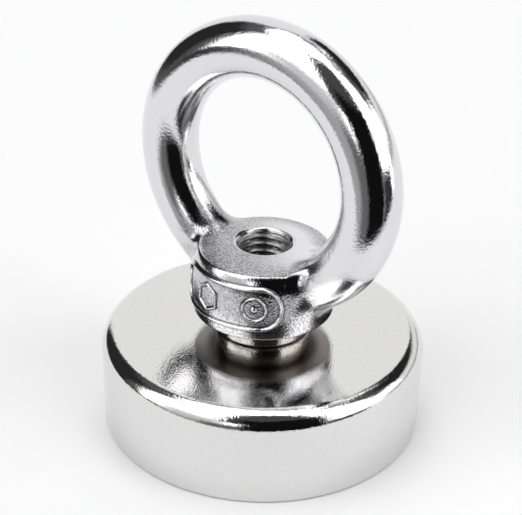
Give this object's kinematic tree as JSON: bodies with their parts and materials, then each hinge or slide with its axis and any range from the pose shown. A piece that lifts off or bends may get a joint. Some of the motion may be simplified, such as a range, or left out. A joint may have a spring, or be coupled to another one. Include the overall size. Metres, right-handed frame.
{
  "type": "magnet fishing magnet",
  "caption": "Round nickel-plated pot magnet on a countersunk stud screw, with a spacer collar and a cast eye nut that unscrews, for tying on a retrieval rope.",
  "frame": {"origin": "centre of the pot's lower rim, on the plane that the magnet holds to, at the bottom of the object", "axes": "+Z along the stud, from the magnet face to the top of the eye; the eye lies in the XZ plane; -Y is the side of the nut with the plaque"},
  "size_m": [0.032, 0.032, 0.041],
  "materials": {
    "pot_nickel": "bright nickel plate on turned steel",
    "magnet_nickel": "satin nickel plate on sintered neodymium",
    "potting_resin": "dark cast resin",
    "screw_zinc": "bright zinc plate",
    "collar_nickel": "bright nickel plate on turned steel",
    "eye_nut_nickel": "bright nickel plate, polished eye on a grainy cast boss"
  },
  "bodies": {
    "pot": {"pot_shell": "pot_nickel", "ring_magnet": "magnet_nickel", "resin_ring": "potting_resin", "countersunk_screw": "screw_zinc"},
    "collar": {"spacer_collar": "collar_nickel"},
    "eye_nut": {"eye_nut": "eye_nut_nickel"}
  },
  "joints": [
    {"name": "eye_nut_turn", "type": "hinge", "parent": "pot", "child": "collar", "pos_m": [0, 0, 0.0119], "axis": [0, 0, 1], "range_deg": [0, 1800]},
    {"name": "eye_nut_rise", "type": "slide", "parent": "collar", "child": "eye_nut", "axis": [0, 0, 1], "range_m": [0, 0.0041]}
  ],
  "couplings": [
    {"joint": "eye_nut_rise", "follows": "eye_nut_turn", "m_per_rad": 0.00012732}
  ]
}
